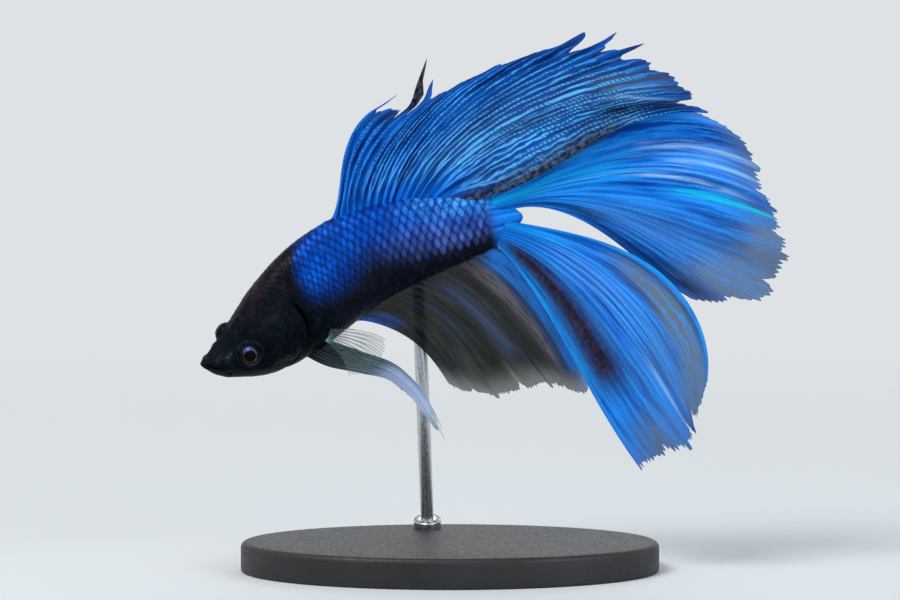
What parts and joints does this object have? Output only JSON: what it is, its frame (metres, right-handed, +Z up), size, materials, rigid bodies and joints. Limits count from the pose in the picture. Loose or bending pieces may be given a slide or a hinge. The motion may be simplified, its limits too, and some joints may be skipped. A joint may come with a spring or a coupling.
{
  "type": "betta fish",
  "caption": "Male betta fish, slim head-down body with long flowing dorsal, tail and anal fins and feeler-like pelvic fins, held up by a slim rod on a flat oval base.",
  "frame": {"origin": "middle of the underside of the stand's oval base", "axes": "+Z up; the fish's head points along -X and down, its tail fin along +X, its left side towards -Y"},
  "size_m": [0.0771, 0.036, 0.0715],
  "materials": {
    "head_skin": "satin",
    "body_scales": "satin",
    "eye": "glossy",
    "blue_fin": "satin",
    "smoky_fin": "satin",
    "pale_fin": "satin",
    "stand_base": "matte",
    "stand_rod": "brushed"
  },
  "bodies": {
    "root": {"head": "head_skin", "lower_jaw": "head_skin", "gill_cover_left": "head_skin", "gill_cover_right": "head_skin", "eye_left": "eye", "eye_right": "eye", "trunk": "body_scales", "tail_stalk": "body_scales", "dorsal_fin": "blue_fin", "caudal_fin_upper": "blue_fin", "caudal_fin_lower": "blue_fin", "anal_fin": "smoky_fin", "pectoral_fin_left": "pale_fin", "pectoral_fin_right": "pale_fin", "pelvic_fin_left": "pale_fin", "pelvic_fin_right": "pale_fin", "stand_base": "stand_base", "stand_rod": "stand_rod"}
  },
  "joints": []
}
